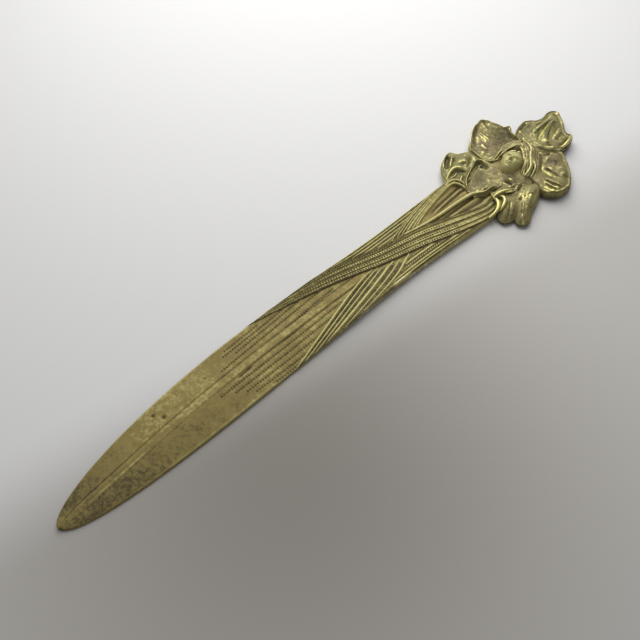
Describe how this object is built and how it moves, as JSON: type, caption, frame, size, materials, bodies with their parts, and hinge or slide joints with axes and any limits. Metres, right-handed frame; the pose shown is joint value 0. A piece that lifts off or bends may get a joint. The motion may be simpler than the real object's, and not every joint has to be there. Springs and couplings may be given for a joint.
{
  "type": "letter opener",
  "caption": "cast brass letter opener with a lance-shaped leaf blade, crossed ribbed leaves on the stem and an iris flower head that frames a small calm mask",
  "frame": {"origin": "on the flat back, under the place where the two strap leaves cross", "axes": "+Y runs along the opener from the blade's tip to the flower, +Z out of the decorated face, +X to its right"},
  "size_m": [0.0482, 0.2413, 0.0083],
  "materials": {
    "blade_brass": "aged satin brass, mottled",
    "leaf_brass": "aged brass, dark in the grooves",
    "petal_brass": "aged brass, worn bright on the rims",
    "mask_brass": "aged brass, rubbed bright",
    "hair_brass": "aged brass, brown patina"
  },
  "bodies": {
    "root": {"blade": "blade_brass", "under_leaf": "leaf_brass", "over_leaf": "leaf_brass", "left_side_leaf": "leaf_brass", "right_side_leaf": "leaf_brass", "centre_stalk": "leaf_brass", "face_mask": "mask_brass", "right_hair_lock": "hair_brass", "left_hair_lock": "hair_brass", "outer_hair_lock": "hair_brass", "hair_cap": "hair_brass", "cup_petal": "petal_brass", "tendril": "petal_brass", "upper_calyx_curl": "petal_brass", "lower_calyx_curl": "petal_brass", "left_petal_lip": "petal_brass", "lower_right_petal": "petal_brass", "right_petal": "petal_brass", "upper_left_petal": "petal_brass", "left_petal": "petal_brass", "lower_right_lobe": "petal_brass", "top_petal_curl": "petal_brass", "top_petal": "petal_brass", "inner_petal": "petal_brass"}
  },
  "joints": []
}
